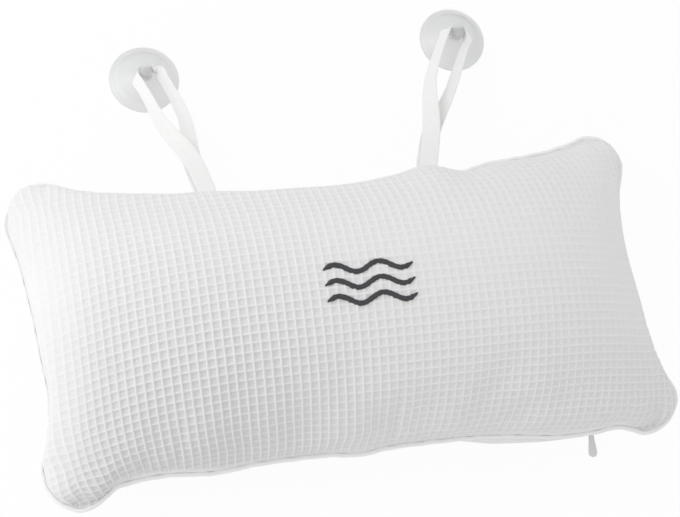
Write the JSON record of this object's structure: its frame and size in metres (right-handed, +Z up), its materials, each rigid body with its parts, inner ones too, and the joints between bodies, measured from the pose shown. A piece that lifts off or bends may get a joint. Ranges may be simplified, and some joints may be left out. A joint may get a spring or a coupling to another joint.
{
  "type": "bath pillow",
  "caption": "Plump rectangular bath pillow in white waffle cloth with piped seam and zip, hung from tape loops that carry suction cups.",
  "frame": {"origin": "middle of the flat patch that the back of the pillow rests on", "axes": "+Z up through the crown of the front panel, +X along the pillow's length, +Y towards the straps and suction cups"},
  "size_m": [0.3994, 0.3244, 0.106],
  "materials": {
    "waffle_cloth": "matte",
    "piping_cloth": "matte",
    "lining_cloth": "matte",
    "fibre": "matte",
    "zip_tape": "matte",
    "zip_plastic": "satin",
    "pull_plastic": "satin",
    "strap_tape": "matte",
    "cup_plastic": "gloss"
  },
  "bodies": {
    "cover": {"front_panel": "waffle_cloth", "back_panel": "waffle_cloth", "piping_cover": "piping_cloth", "piping_cord": "fibre", "inner_case_front": "lining_cloth", "inner_case_back": "lining_cloth", "fibre_filling": "fibre", "zip_tape_front": "zip_tape", "zip_tape_back": "zip_tape", "zip_coil_front": "zip_plastic", "zip_coil_back": "zip_plastic", "zip_stop_open_end": "zip_plastic", "zip_stop_closed_end": "zip_plastic", "strap_tail_left": "strap_tape", "strap_tail_right": "strap_tape"},
    "left_strap": {"strap_left": "strap_tape"},
    "right_strap": {"strap_right": "strap_tape"},
    "left_cup": {"cup_left": "cup_plastic"},
    "right_cup": {"cup_right": "cup_plastic"},
    "slider": {"zip_slider": "zip_plastic"},
    "pull": {"zip_pull": "pull_plastic"}
  },
  "joints": [
    {"name": "left_strap_swing", "type": "hinge", "parent": "cover", "child": "left_strap", "pos_m": [-0.075, 0.0918, 0.0384], "axis": [1, 0, 0], "range_deg": [-45, 90]},
    {"name": "right_strap_swing", "type": "hinge", "parent": "cover", "child": "right_strap", "pos_m": [0.066, 0.09154, 0.0384], "axis": [1, 0, 0], "range_deg": [-45, 90]},
    {"name": "left_cup_tilt", "type": "hinge", "parent": "left_strap", "child": "left_cup", "pos_m": [-0.1065, 0.1778, 0.0145], "axis": [1, 0, 0], "range_deg": [-20, 80]},
    {"name": "right_cup_tilt", "type": "hinge", "parent": "right_strap", "child": "right_cup", "pos_m": [0.1095, 0.19254, 0.0145], "axis": [1, 0, 0], "range_deg": [-20, 80]},
    {"name": "zip_slide", "type": "slide", "parent": "cover", "child": "slider", "axis": [1, 0, 0], "range_m": [-0.287, 0]},
    {"name": "zip_pull_swing", "type": "hinge", "parent": "slider", "child": "pull", "pos_m": [0.1439, -0.09027, 0.03559], "axis": [0, -0.2221, 0.975], "range_deg": [-70, 70]}
  ]
}
